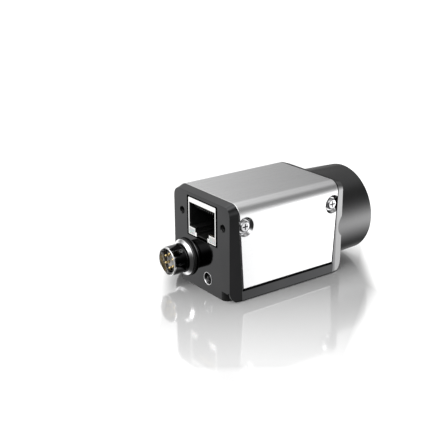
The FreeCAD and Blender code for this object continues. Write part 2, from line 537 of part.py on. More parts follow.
cons = []
for k in range(8):
    uc = (k - 3.5) * 1.02
    # spring wire: along the roof slot, folded back down into the mouth
    pts = [(JF + 1.9, 24.9), (CAV_BACK + 0.4, 24.9), (CAV_BACK + 0.4, 24.6), (JF + 2.3, 24.6),
           (JF + 2.05, 24.35), (JF + 5.9, 22.8), (JF + 5.8, 22.55), (JF + 1.65, 24.22), (JF + 1.5, 24.5)]
    poly = Part.makePolygon([Vector(uc - 0.2, v, w) for v, w in pts] + [Vector(uc - 0.2, pts[0][0], pts[0][1])])
    cons.append(Part.Face(poly).extrude(Vector(0.4, 0, 0)))
jack_out("jack_contacts", Part.makeCompound(cons))
wins = []
for su in (-1, 1):
    a, b = sorted((su * (WIN[0] + 0.08), su * (WIN[1] - 0.08)))
    wins.append(box(a, b, JF, JB - 0.9, WIN[2] + 0.08, WIN[3] - 0.08))
jack_out("jack_light_windows", Part.makeCompound(wins))

# ----------------------------------------------------------- round connector
TIP = REAR_FACE - RC_LEN
shell = revolve_v([(3.95, TIP + 0.12), (4.07, TIP), (4.28, TIP), (4.4, TIP + 0.12), (4.4, -5.3), (4.0, -5.05), (4.0, -4.15),
                   (4.36, -3.95), (4.36, 0.02), (4.6, 0.02), (4.6, 1.2), (4.3, 1.2), (4.3, 3.6), (3.7, 3.6), (3.7, -5.6), (3.95, -5.6)], RC_U, RC_W)
out("round_connector_shell", shell)
out("round_connector_gasket", ring_v(5.75, 4.4, REAR_FACE - 0.55, REAR_FACE, RC_U, RC_W))
nut = revolve_v([(4.4, REAR_FACE - 1.7), (4.5, REAR_FACE - 1.75), (4.62, REAR_FACE - 1.75), (5.38, REAR_FACE - 1.1),
                 (5.45, REAR_FACE - 1.0), (5.45, REAR_FACE - 0.55), (4.4, REAR_FACE - 0.55)], RC_U, RC_W)
out("round_connector_nut", nut)
insu = cyl_v(3.68, -5.9, 3.4, RC_U, RC_W)
# keyed nose of the insulator
nose = cyl_v(3.4, -7.4, -5.9, RC_U, RC_W)
nose = nose.cut(box(RC_U - 0.6, RC_U + 0.6, -9, -6.0, RC_W + 2.65, RC_W + 4))
nose = nose.cut(box(RC_U - 4, RC_U + 4, -9, -6.0, RC_W - 4, RC_W - 2.62))
PINS = [(RC_U + 2.2 * math.cos(math.radians(60 * k + 30)), RC_W + 2.2 * math.sin(math.radians(60 * k + 30))) for k in range(6)]
insu = insu.fuse(nose).removeSplitter()
pins = []
for (pu, pw) in PINS:
    insu = insu.cut(cyl_v(0.4, -10, 5, pu, pw))
    p = cyl_v(0.37, TIP + 0.9, V_IFACE + PCB_T + 0.4, pu, pw)
    pins.append(p.fuse(cone_v(0.2, 0.37, TIP + 0.7, TIP + 0.9, pu, pw)).removeSplitter().Solids[0])
out("round_connector_insulator", insu)
out("round_connector_pins", Part.makeCompound(pins))

# -------------------------------------------------------------- status light
ring = revolve_v([(LED_RING_R - 0.02, REAR_FACE - 0.1), (LED_RING_R - 0.02, REAR_FACE + 0.88), (LED_RING_IN + 0.02, REAR_FACE + 0.88),
                  (LED_RING_IN + 0.02, REAR_FACE + 0.62), (LED_RING_R - 0.14, REAR_FACE - 0.1)], LED_U, LED_W)
out("status_light_bezel", ring)
pipe = cyl_v(LED_RING_IN - 0.02, REAR_FACE + 0.65, V_IFACE - 1.05, LED_U, LED_W)
DOME_R = 1.75
dome = Part.makeSphere(DOME_R, Vector(LED_U, REAR_FACE + 0.65 + math.sqrt(DOME_R ** 2 - (LED_RING_IN - 0.02) ** 2), LED_W)).common(
    cyl_v(LED_RING_IN - 0.02, REAR_FACE - 1, REAR_FACE + 0.7, LED_U, LED_W))
out("status_light_pipe", pipe.fuse(dome).removeSplitter())
out("status_led_chip", box(LED_U - 0.8, LED_U + 0.8, V_IFACE - 0.9, V_IFACE, LED_W - 0.8, LED_W + 0.8))

# ----------------------------------------------------------------- summaries
tot = None
for s in made.values():
    bb = s.BoundBox
    if tot is None:
        tot = FreeCAD.BoundBox(bb)
    else:
        tot.add(bb)
print("whole part X %.3f..%.3f Y %.3f..%.3f Z %.3f..%.3f  nodes %d" % (tot.XMin, tot.XMax, tot.YMin, tot.YMax, tot.ZMin, tot.ZMax, len(made)))
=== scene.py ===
"""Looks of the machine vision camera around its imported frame."""
import bpy, bmesh, json, math, random
from mathutils import Vector, Matrix

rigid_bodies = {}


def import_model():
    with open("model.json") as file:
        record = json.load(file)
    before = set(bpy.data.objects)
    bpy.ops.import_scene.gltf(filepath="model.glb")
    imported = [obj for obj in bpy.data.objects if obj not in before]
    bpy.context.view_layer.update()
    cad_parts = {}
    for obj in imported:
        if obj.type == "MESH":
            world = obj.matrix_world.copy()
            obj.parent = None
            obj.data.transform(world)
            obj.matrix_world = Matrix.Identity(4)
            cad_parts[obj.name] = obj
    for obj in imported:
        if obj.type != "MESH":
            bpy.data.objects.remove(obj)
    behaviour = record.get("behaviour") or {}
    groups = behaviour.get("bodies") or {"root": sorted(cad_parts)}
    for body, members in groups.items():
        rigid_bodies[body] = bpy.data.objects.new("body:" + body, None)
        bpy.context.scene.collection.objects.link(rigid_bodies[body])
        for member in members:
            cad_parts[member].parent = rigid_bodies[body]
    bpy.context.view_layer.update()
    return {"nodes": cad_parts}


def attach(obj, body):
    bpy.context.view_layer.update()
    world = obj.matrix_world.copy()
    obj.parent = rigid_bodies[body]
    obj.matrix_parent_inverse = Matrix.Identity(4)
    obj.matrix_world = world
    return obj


for o in list(bpy.data.objects):
    bpy.data.objects.remove(o, do_unlink=True)

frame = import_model()
NODES = frame["nodes"]
MM = 0.001
random.seed(7)

# the part frame against the local frame used for drawing: u right as seen
# from behind, v towards the lens, w up (mm)
Y_CENTRE = 21.25


def P(u, v, w):
    return Vector((-u * MM, (Y_CENTRE - v) * MM, w * MM))


# ------------------------------------------------------------ node helpers
class Mat:
    def __init__(self, name):
        self.m = bpy.data.materials.new(name)
        self.m.use_nodes = True
        self.nt = self.m.node_tree
        self.nt.nodes.clear()
        self.out = self.nt.nodes.new("ShaderNodeOutputMaterial")
        self.b = self.nt.nodes.new("ShaderNodeBsdfPrincipled")
        self.nt.links.new(self.b.outputs[0], self.out.inputs[0])
        self._tc = None

    def node(self, kind, **kw):
        n = self.nt.nodes.new(kind)
        for k, v in kw.items():
            setattr(n, k, v)
        return n

    def link(self, a, b):
        self.nt.links.new(a, b)

    def set(self, **kw):
        for k, v in kw.items():
            s = self.b.inputs[k.replace("_", " ")]
            s.default_value = (*v, 1.0) if isinstance(v, tuple) and len(v) == 3 else v
        return self

    def coords(self, stretch=(1, 1, 1), warp=None):
        """object coordinates in millimetres"""
        if self._tc is None:
            self._tc = self.node("ShaderNodeTexCoord")
        n = self.node("ShaderNodeVectorMath", operation="MULTIPLY")
        self.link(self._tc.outputs["Object"], n.inputs[0])
        n.inputs[1].default_value = tuple(1000.0 * s for s in stretch)
        return n.outputs[0]

    def noise(self, scale, detail=2.0, rough=0.5, stretch=(1, 1, 1), distortion=0.0):
        n = self.node("ShaderNodeTexNoise")
        n.inputs["Scale"].default_value = scale
        n.inputs["Detail"].default_value = detail
        n.inputs["Roughness"].default_value = rough
        n.inputs["Distortion"].default_value = distortion
        self.link(self.coords(stretch), n.inputs["Vector"])
        return n.outputs["Fac"]

    def voronoi(self, scale, feature="F1", stretch=(1, 1, 1), out="Distance"):
        n = self.node("ShaderNodeTexVoronoi", feature=feature)
        n.inputs["Scale"].default_value = scale
        self.link(self.coords(stretch), n.inputs["Vector"])
        return n.outputs[out]

    def axis(self, which):
        s = self.node("ShaderNodeSeparateXYZ")
        self.link(self.coords(), s.inputs[0])
        return s.outputs[which]

    def remap(self, value, a, b, lo, hi, smooth=False):
        n = self.node("ShaderNodeMapRange")
        if smooth:
            n.interpolation_type = "SMOOTHSTEP"
        n.inputs["From Min"].default_value = a
        n.inputs["From Max"].default_value = b
        n.inputs["To Min"].default_value = lo
        n.inputs["To Max"].default_value = hi
        self.link(value, n.inputs["Value"])
        return n.outputs["Result"]

    def math(self, op, a, b=None):
        n = self.node("ShaderNodeMath", operation=op)
        for i, x in enumerate((a, b)):
            if x is None:
                continue
            if isinstance(x, (int, float)):
                n.inputs[i].default_value = x
            else:
                self.link(x, n.inputs[i])
        return n.outputs[0]

    def colours(self, fac, c0, c1):
        n = self.node("ShaderNodeMix", data_type="RGBA")
        n.inputs["A"].default_value = (*c0, 1)
        n.inputs["B"].default_value = (*c1, 1)
        self.link(fac, n.inputs["Factor"])
        return n.outputs["Result"]

    def mix(self, fac, a, b):
        n = self.node("ShaderNodeMix", data_type="RGBA")
        for key, x in (("A", a), ("B", b)):
            if isinstance(x, tuple):
                n.inputs[key].default_value = (*x, 1)
            else:
                self.link(x, n.inputs[key])
        self.link(fac, n.inputs["Factor"])
        return n.outputs["Result"]

    def bump(self, height, strength=0.2, distance=0.02, under=None):
        """distance in mm"""
        n = self.node("ShaderNodeBump")
        n.inputs["Strength"].default_value = strength
        n.inputs["Distance"].default_value = distance * MM
        self.link(height, n.inputs["Height"])
        if under is not None:
            self.link(under, n.inputs["Normal"])
        return n.outputs["Normal"]

    def soft_edge(self, radius):
        n = self.node("ShaderNodeBevel")
        n.samples = 6
        n.inputs["Radius"].default_value = radius * MM
        return n.outputs["Normal"]

    def to(self, socket, value):
        self.link(value, self.b.inputs[socket])


# --------------------------------------------------------------- materials
def m_casting():
    """black plated zinc casting: bright and glassy on the rear frame, satin on
    the front flange and barrel, with faint orange peel and fine paler specks"""
    M = Mat("black_casting_gloss")
    big = M.noise(0.11, 3.0, 0.55)
    fine = M.noise(2.3, 4.0, 0.6)
    front = M.remap(M.axis("Y"), -15.3, -15.7, 0.0, 1.0)
    rear_col = M.colours(M.remap(big, 0.3, 0.7, 0.0, 1.0), (0.040, 0.0405, 0.042), (0.047, 0.047, 0.048))
    col = M.mix(front, rear_col, (0.104, 0.104, 0.105))
    speck = M.remap(M.voronoi(1.7), 0.0, 0.05, 1.0, 0.0)
    col = M.mix(M.math("MULTIPLY", speck, 0.25), col, (0.10, 0.10, 0.10))
    # corner notches and lock holes: painted shade, a near black colour for the shadow in these recesses; they
    # are also made matt and not metallic
    x, y, z = M.axis("X"), M.axis("Y"), M.axis("Z")
    ax = M.math("ABSOLUTE", x)
    notch = M.math("MULTIPLY", M.math("GREATER_THAN", ax, 9.72), M.math("LESS_THAN", ax, 13.05))
    notch = M.math("MULTIPLY", notch, M.math("LESS_THAN", z, 2.80))
    inside = M.math("MULTIPLY", M.math("LESS_THAN", y, 23.82), M.math("GREATER_THAN", y, -18.12))
    ends = M.math("ADD", M.math("GREATER_THAN", y, 21.45), M.math("LESS_THAN", y, -15.75))
    notch = M.math("MULTIPLY", notch, M.math("MULTIPLY", inside, ends))
    hx = M.math("SUBTRACT", M.math("ABSOLUTE", M.math("ADD", x, 0.5)), 10.0)
    hz = M.math("SUBTRACT", z, 21.85)
    hr = M.math("ADD", M.math("MULTIPLY", hx, hx), M.math("MULTIPLY", hz, hz))
    hole = M.math("MULTIPLY", M.math("LESS_THAN", hr, 1.16), M.math("GREATER_THAN", y, 19.0))
    painted_shade_matt_recess = M.math("MAXIMUM", notch, hole)
    # painted shade: near black base colour inside the notches and lock holes
    M.to("Base Color", M.mix(painted_shade_matt_recess, col, (0.006, 0.006, 0.006)))
    glassy = M.remap(big, 0.25, 0.75, 0.050, 0.075)
    satin = M.remap(big, 0.25, 0.75, 0.20, 0.23)
    r = M.math("ADD", M.math("MULTIPLY", front, satin),
               M.math("MULTIPLY", M.math("SUBTRACT", 1.0, front), glassy))
    r = M.math("ADD", r, M.remap(fine, 0.3, 0.7, -0.006, 0.012))
    M.to("Roughness", M.math("ADD", r, M.math("MULTIPLY", painted_shade_matt_recess, 0.5)))
    M.to("Metallic", M.math("SUBTRACT", 1.0, painted_shade_matt_recess))
    e = M.soft_edge(0.10)
    n = M.bump(M.noise(0.75, 2.0, 0.5), 0.06, 0.008, e)
    n = M.bump(fine, 0.04, 0.003, n)
    M.to("Normal", n)
    return M.m


def m_dark_plate():
    """black plated turned shell whose front rim is left bright"""
    M = Mat("black_plate_bright_rim")
    fine = M.noise(3.0, 4.0, 0.6)
    x = M.math("ADD", M.axis("X"), -8.0)
    z = M.math("SUBTRACT", M.axis("Z"), 7.6)
    rr = M.math("SQRT", M.math("ADD", M.math("MULTIPLY", x, x), M.math("MULTIPLY", z, z)))
    rim = M.remap(M.axis("Y"), 30.20, 30.28, 0.0, 1.0)
    # the bore is left bright as well
    bore = M.math("MULTIPLY", M.math("LESS_THAN", rr, 3.99), M.math("GREATER_THAN", M.axis("Y"), 26.5))
    rim = M.math("MAXIMUM", rim, bore)
    dark = M.colours(M.remap(fine, 0.3, 0.7, 0, 1), (0.060, 0.060, 0.061), (0.085, 0.085, 0.086))
    bright = M.colours(M.remap(fine, 0.3, 0.7, 0, 1), (0.82, 0.82, 0.82), (0.90, 0.90, 0.89))
    M.to("Base Color", M.mix(rim, dark, bright))
    M.set(Metallic=1.0)
    M.to("Roughness", M.math("ADD", M.remap(rim, 0.0, 1.0, 0.11, 0.16), M.remap(fine, 0.3, 0.7, -0.015, 0.02)))
    n = M.bump(fine, 0.05, 0.004, M.soft_edge(0.05))
    n = M.bump(M.math("SINE", M.math("MULTIPLY", rr, 70.0)), 0.04, 0.002, n)
    M.to("Normal", n)
    return M.m


def m_bright_plate():
    """bright plated rings; the cone inside the status light's ring is painted dark, painted shade standing in
    for the shadow in it
    """
    M = Mat("bright_plate")
    fine = M.noise(5.0, 4.0, 0.6)
    cloud = M.noise(0.45, 2.0, 0.5)
    col = M.colours(M.remap(cloud, 0.3, 0.7, 0, 1), (0.86, 0.86, 0.87), (0.92, 0.92, 0.93))
    x = M.math("ADD", M.axis("X"), 3.2)
    z = M.math("SUBTRACT", M.axis("Z"), 4.4)
    rr = M.math("SQRT", M.math("ADD", M.math("MULTIPLY", x, x), M.math("MULTIPLY", z, z)))
    # painted shade: the cone inside the ring is darkened
    cone_painted_shade = M.remap(rr, 1.70, 1.78, 1.0, 0.0)
    M.to("Base Color", M.mix(cone_painted_shade, col, (0.07, 0.07, 0.072)))
    M.set(Metallic=1.0)
    M.to("Roughness", M.remap(fine, 0.3, 0.7, 0.08, 0.125))
    M.to("Normal", M.bump(fine, 0.04, 0.004, M.soft_edge(0.04)))
    return M.m


PIN_PLACES = [(-2.2 * math.cos(math.radians(60 * k + 30)), 2.2 * math.sin(math.radians(60 * k + 30)))
              for k in range(6)]


def m_insulator():
    """moulded core of the round connector: paler face; the wells round the pins and the ring groove are painted
    dark, painted shade in these recesses
    """
    M = Mat("insulator")
    fine = M.noise(7.0, 4.0, 0.6)
    cloud = M.noise(1.3, 2.0, 0.5)
    x = M.math("ADD", M.axis("X"), -8.0)
    z = M.math("SUBTRACT", M.axis("Z"), 7.6)
    # painted shade: near black in the wells round the pins and in the ring groove
    well = None
    for px, pz in PIN_PLACES:
        dx = M.math("SUBTRACT", x, px)
        dz = M.math("SUBTRACT", z, pz)
        d = M.math("SQRT", M.math("ADD", M.math("MULTIPLY", dx, dx), M.math("MULTIPLY", dz, dz)))
        w = M.remap(d, 0.52, 0.62, 1.0, 0.0)
        well = w if well is None else M.math("MAXIMUM", well, w)
    rr = M.math("SQRT", M.math("ADD", M.math("MULTIPLY", x, x), M.math("MULTIPLY", z, z)))
    groove = M.math("MULTIPLY", M.remap(rr, 3.05, 3.15, 0.0, 1.0), M.remap(rr, 3.35, 3.45, 1.0, 0.0))
    dark = M.math("MAXIMUM", well, groove)
    col = M.colours(M.remap(cloud, 0.35, 0.65, 0, 1), (0.20, 0.195, 0.19), (0.44, 0.435, 0.43))
    M.to("Base Color", M.mix(dark, col, (0.012, 0.012, 0.012)))
    M.to("Roughness", M.remap(fine, 0.3, 0.7, 0.19, 0.26))
    n = M.bump(dark, -0.6, 0.10, M.soft_edge(0.04))
    M.to("Normal", M.bump(fine, 0.25, 0.006, n))
    return M.m


def near_screws(M, radius):
    """1 within the radius of a cover screw's axis, else 0"""
    dy = M.math("SUBTRACT", M.math("ABSOLUTE", M.math("SUBTRACT", M.axis("Y"), 2.805)), 16.205)
    dz = M.math("SUBTRACT", M.axis("Z"), 22.4)
    rr = M.math("ADD", M.math("MULTIPLY", dy, dy), M.math("MULTIPLY", dz, dz))
    return M.math("LESS_THAN", rr, radius * radius)


def m_screw():
    """bright plated screw head; the cross recess and the foot under the head get painted shade, a near black
    colour, and the recess is also made rougher
    """
    M = Mat("bright_screws")
    fine = M.noise(4.0, 4.0, 0.6)
    cloud = M.noise(0.45, 2.0, 0.5)
    col = M.colours(M.remap(cloud, 0.3, 0.7, 0, 1), (0.46, 0.46, 0.47), (0.56, 0.56, 0.57))
    ax = M.math("ABSOLUTE", M.axis("X"))
    # painted shade: near black in the cross recess and, fading out, on the foot under the head
    recess_painted_shade = M.math("MULTIPLY", near_screws(M, 1.05), M.math("LESS_THAN", ax, 14.34))
    foot_painted_shade = M.remap(ax, 13.55, 13.95, 0.85, 0.0)
    dark = M.math("MAXIMUM", recess_painted_shade, foot_painted_shade)
    M.to("Base Color", M.mix(dark, col, (0.010, 0.010, 0.010)))
    M.set(Metallic=1.0)
    M.to("Roughness", M.math("ADD", M.remap(fine, 0.3, 0.7, 0.11, 0.15), M.math("MULTIPLY", recess_painted_shade, 0.3)))
    M.to("Normal", M.bump(fine, 0.06, 0.004, M.soft_edge(0.05)))
    return M.m


def m_cover():
    """light metal sheet, bead blasted: fine even grain, very faint long
    streaks from rolling, softly rounded edges"""
    M = Mat("satin_sheet")
    cloud = M.noise(0.05, 2.0, 0.5)
    grain = M.noise(7.0, 3.0, 0.65)
    streak = M.noise(1.1, 3.0, 0.6, stretch=(1.0, 0.04, 1.0))
    col = M.colours(M.remap(cloud, 0.3, 0.7, 0, 1), (0.690, 0.692, 0.696), (0.715, 0.716, 0.719))
    col = M.mix(M.math("MULTIPLY", M.remap(streak, 0.35, 0.70, 0.0, 1.0), 0.15), col, (0.745, 0.746, 0.748))
    col = M.mix(M.math("MULTIPLY", M.remap(grain, 0.30, 0.72, 0.0, 1.0), 0.30), col, (0.64, 0.642, 0.645))
    # the pressed screw dimples: their darker colour is painted shade, and their lower roughness is the burnish
    # of the punch
    dimple_painted_shade_and_burnish = M.math("MULTIPLY", near_screws(M, 2.95), M.math("LESS_THAN", M.math("ABSOLUTE", M.axis("X")), 14.49))
    # painted shade: the dimples' colour is darkened
    M.to("Base Color", M.mix(M.math("MULTIPLY", dimple_painted_shade_and_burnish, 0.6), col, (0.50, 0.50, 0.505)))
    M.set(Metallic=1.0)
    r = M.math("ADD", M.remap(streak, 0.3, 0.7, 0.276, 0.284), M.remap(grain, 0.3, 0.7, -0.012, 0.012))
    M.to("Roughness", M.math("SUBTRACT", r, M.math("MULTIPLY", dimple_painted_shade_and_burnish, 0.15)))
    e = M.soft_edge(0.12)
    M.to("Normal", M.bump(grain, 0.14, 0.004, e))
    return M.m


def m_metal(name, c0, c1, rough, scale=3.0, edge=0.05, bump=0.06, turned=None):
    """plated or machined metal; turned=(axis u, w) adds fine turning marks"""
    M = Mat(name)
    fine = M.noise(scale, 4.0, 0.6)
    cloud = M.noise(0.45, 2.0, 0.5)
    M.to("Base Color", M.colours(M.remap(cloud, 0.3, 0.7, 0, 1), c0, c1))
    M.set(Metallic=1.0)
    M.to("Roughness", M.remap(fine, 0.3, 0.7, rough * 0.8, rough * 1.25))
    e = M.soft_edge(edge)
    n = M.bump(fine, bump, 0.004, e)
    if turned is not None:
        u, w = turned
        x = M.math("ADD", M.axis("X"), float(u))
        z = M.math("SUBTRACT", M.axis("Z"), float(w))
        rr = M.math("SQRT", M.math("ADD", M.math("MULTIPLY", x, x), M.math("MULTIPLY", z, z)))
        wave = M.math("SINE", M.math("MULTIPLY", rr, 60.0))
        n = M.bump(wave, 0.05, 0.002, n)
    M.to("Normal", n)
    return M.m


def m_plastic(name, c0, c1, rough, grain=6.0, bump=0.15, spec=0.5, **kw):
    M = Mat(name)
    fine = M.noise(grain, 4.0, 0.6)
    cloud = M.noise(0.5, 2.0, 0.5)
    M.to("Base Color", M.colours(M.remap(cloud, 0.3, 0.7, 0, 1), c0, c1))
    M.to("Roughness", M.remap(fine, 0.3, 0.7, rough * 0.85, min(1.0, rough * 1.15)))
    M.set(Specular_IOR_Level=spec, **kw)
    M.to("Normal", M.bump(fine, bump, 0.006, M.soft_edge(0.04)))
    return M.m


def m_glass(name, tint, rough=0.02, film=0.0, trans=1.0):
    M = Mat(name)
    fine = M.noise(0.3, 2.0, 0.5)
    M.to("Base Color", M.colours(M.remap(fine, 0.3, 0.7, 0, 1), tint, tuple(min(1.0, t * 1.03) for t in tint)))
    M.to("Roughness", M.remap(fine, 0.3, 0.7, rough, rough * 1.6))
    M.set(Transmission_Weight=trans, IOR=1.5)
    if film:
        M.set(Thin_Film_Thickness=film, Thin_Film_IOR=1.9)
    return M.m


def m_board():
    """green solder resist with traces and plated vias under it"""
    M = Mat("board_resist")
    v = M.voronoi(0.62, "DISTANCE_TO_EDGE", (1, 1, 1))
    trace = M.remap(v, 0.045, 0.07, 1.0, 0.0)
    via = M.remap(M.voronoi(0.55), 0.055, 0.075, 1.0, 0.0)
    base = M.colours(M.remap(M.noise(0.4, 3), 0.3, 0.7, 0, 1), (0.008, 0.075, 0.028), (0.012, 0.10, 0.040))
    col = M.mix(trace, base, (0.02, 0.19, 0.075))
    col = M.mix(via, col, (0.75, 0.62, 0.30))
    M.to("Base Color", col)
    M.to("Roughness", M.remap(M.noise(5.0, 3), 0.3, 0.7, 0.28, 0.4))
    M.to("Normal", M.bump(trace, 0.35, 0.03))
    return M.m


def m_die():
    """sensor die: dark iridescent active area inside a paler frame of pads"""
    M = Mat("sensor_die_face")
    x = M.axis("X")
    z = M.math("SUBTRACT", M.axis("Z"), 14.5)
    ax = M.math("ABSOLUTE", x)
    az = M.math("ABSOLUTE", z)
    inner = M.math("MULTIPLY", M.math("LESS_THAN", ax, 4.35), M.math("LESS_THAN", az, 3.55))
    shim = M.colours(M.remap(M.noise(0.25, 2.0), 0.3, 0.7, 0, 1), (0.06, 0.035, 0.085), (0.03, 0.075, 0.07))
    pads = M.math("GREATER_THAN", M.math("SINE", M.math("MULTIPLY", M.math("ADD", x, z), 18.0)), 0.2)
    rim = M.mix(pads, (0.30, 0.29, 0.27), (0.62, 0.58, 0.46))
    M.to("Base Color", M.mix(inner, rim, shim))
    M.set(Metallic=0.85)
    M.to("Roughness", M.remap(M.noise(6.0, 2), 0.3, 0.7, 0.10, 0.18))
    return M.m


MATS = {
    "black_casting": m_casting(),
    "silver_cover": m_cover(),
    "bright_screws": m_screw(),
    "steel_screws": m_metal("steel_screws", (0.50, 0.50, 0.51), (0.60, 0.60, 0.60), 0.30, 4.0, 0.05),
    "black_rubber": m_plastic("black_rubber", (0.012, 0.012, 0.012), (0.018, 0.018, 0.018), 0.42, 5.0, 0.25),
    "filter_glass": m_glass("filter_glass", (0.80, 0.93, 0.95), 0.01),
    "clear_glass": m_glass("clear_glass", (0.98, 0.99, 0.99), 0.01),
    "black_ring": m_plastic("black_anodised", (0.012, 0.012, 0.013), (0.018, 0.018, 0.019), 0.34, 8.0, 0.2),
    "board_green": m_board(),
    "ceramic": m_plastic("ceramic", (0.085, 0.075, 0.078), (0.11, 0.10, 0.10), 0.5, 8.0, 0.2),
    "silicon": m_die(),
    "chip_black": m_plastic("moulded_epoxy", (0.018, 0.018, 0.019), (0.026, 0.026, 0.027), 0.5, 9.0, 0.35),
    "ferrite": m_plastic("ferrite", (0.05, 0.05, 0.055), (0.07, 0.07, 0.075), 0.55, 8.0, 0.3),
    "connector_plastic": m_plastic("header_plastic", (0.68, 0.64, 0.53), (0.74, 0.70, 0.60), 0.42, 6.0, 0.15),
    "brass": m_metal("brass", (0.70, 0.50, 0.22), (0.78, 0.58, 0.28), 0.26, 4.0, 0.05),
    "jack_shield": m_metal("nickel_sheet", (0.82, 0.82, 0.81), (0.88, 0.88, 0.87), 0.16, 4.0, 0.05),
    "jack_plastic": m_plastic("jack_plastic", (0.008, 0.008, 0.008), (0.012, 0.012, 0.012), 0.38, 8.0, 0.2),
    "gold": m_metal("gold_plate", (0.86, 0.64, 0.28), (0.92, 0.72, 0.36), 0.16, 5.0, 0.03),
    "light_plastic": m_plastic("milky_window", (0.88, 0.88, 0.87), (0.94, 0.94, 0.93), 0.25, 5.0, 0.08,
                               Transmission_Weight=0.0, Subsurface_Weight=0.15, Subsurface_Scale=0.0006),
    "chrome": m_bright_plate(),
    "dark_plate": m_dark_plate(),
    "insulator": m_insulator(),
    "clear_plastic": m_plastic("smoked_lens", (0.006, 0.0065, 0.007), (0.010, 0.0105, 0.011), 0.10, 4.0, 0.02,
                               Transmission_Weight=0.2),
}

record_slots = {}
for name, obj in NODES.items():
    for s in obj.material_slots:
        key = s.material.name.split(".")[0]
        record_slots[name] = key
        s.material = MATS[key]


# ------------------------------------------------------------ mesh helpers
def mesh_object(name, verts, faces, material, smooth=True, crease_angle=35.0):
    me = bpy.data.meshes.new(name)
    me.from_pydata([tuple(v) for v in verts], [], faces)
    me.update()
    bm = bmesh.new()
    bm.from_mesh(me)
    bmesh.ops.recalc_face_normals(bm, faces=bm.faces)
    bm.to_mesh(me)
    bm.free()
    if smooth:
        me.shade_smooth()
        me.set_sharp_from_angle(angle=math.radians(crease_angle))
    o = bpy.data.objects.new(name, me)
    bpy.context.scene.collection.objects.link(o)
    o.data.materials.append(material)
    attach(o, "root")
    return o


def thread(name, centre, axis, e1, e2, r_wall, r_crest, start, end, pitch, material, seg=72, sink=0.05):
    """inner helical thread ridge; all in mm in the u v w frame.  axis, e1, e2
    are unit vectors; start..end measured along axis from centre"""
    turns = (end - start) / pitch
    n = max(8, int(turns * seg))
    half = pitch * 0.40
    verts, faces = [], []
    c, a, x, y = Vector(centre), Vector(axis), Vector(e1), Vector(e2)
    for i in range(n + 1):
        t = i / n
        ang = 2 * math.pi * turns * t
        s = start + (end - start) * t
        fade = min(1.0, i / (seg * 0.3), (n - i) / (seg * 0.3))
        fade = max(0.02, fade)
        rc = r_wall - (r_wall - r_crest) * fade
        hb = half * (0.3 + 0.7 * fade)
        hc = pitch * 0.06
        for dr, ds in ((r_wall + sink, -hb), (rc, -hc), (rc, hc), (r_wall + sink, hb)):
            q = c + a * (s + ds) + (x * math.cos(ang) + y * math.sin(ang)) * dr
            verts.append(P(*q))
    for i in range(n):
        b, d = 4 * i, 4 * (i + 1)
        for k in range(4):
            faces.append((b + k, b + (k + 1) % 4, d + (k + 1) % 4, d + k))
    faces.append((0, 1, 2, 3))
    faces.append((4 * n + 3, 4 * n + 2, 4 * n + 1, 4 * n))
    return mesh_object(name, verts, faces, material, True, 30.0)


# ---------------------------------------------------------- added details
U, V, W = (1, 0, 0), (0, 1, 0), (0, 0, 1)
thread("lens_thread_ridge", (0, 0, 14.5), V, U, W, 12.7, 12.28, 46.95, 51.0, 0.794,
       MATS["black_casting"], seg=128)
for i, (cu, cv) in enumerate(((-10, 7), (10, 7), (-10, 29), (10, 29))):
    thread("base_thread_%d" % (i + 1), (cu, cv, 0), W, U, V, 1.5, 1.25, 0.35, 2.6, 0.5,
           MATS["black_casting"], seg=40, sink=0.03)
for i, cu in enumerate((-9.5, 10.5)):
    thread("lock_thread_%d" % (i + 1), (cu, -2.6, 21.85), V, U, W, 1.0, 0.83, 0.42, 2.9, 0.4,
           MATS["black_casting"], seg=32, sink=0.03)


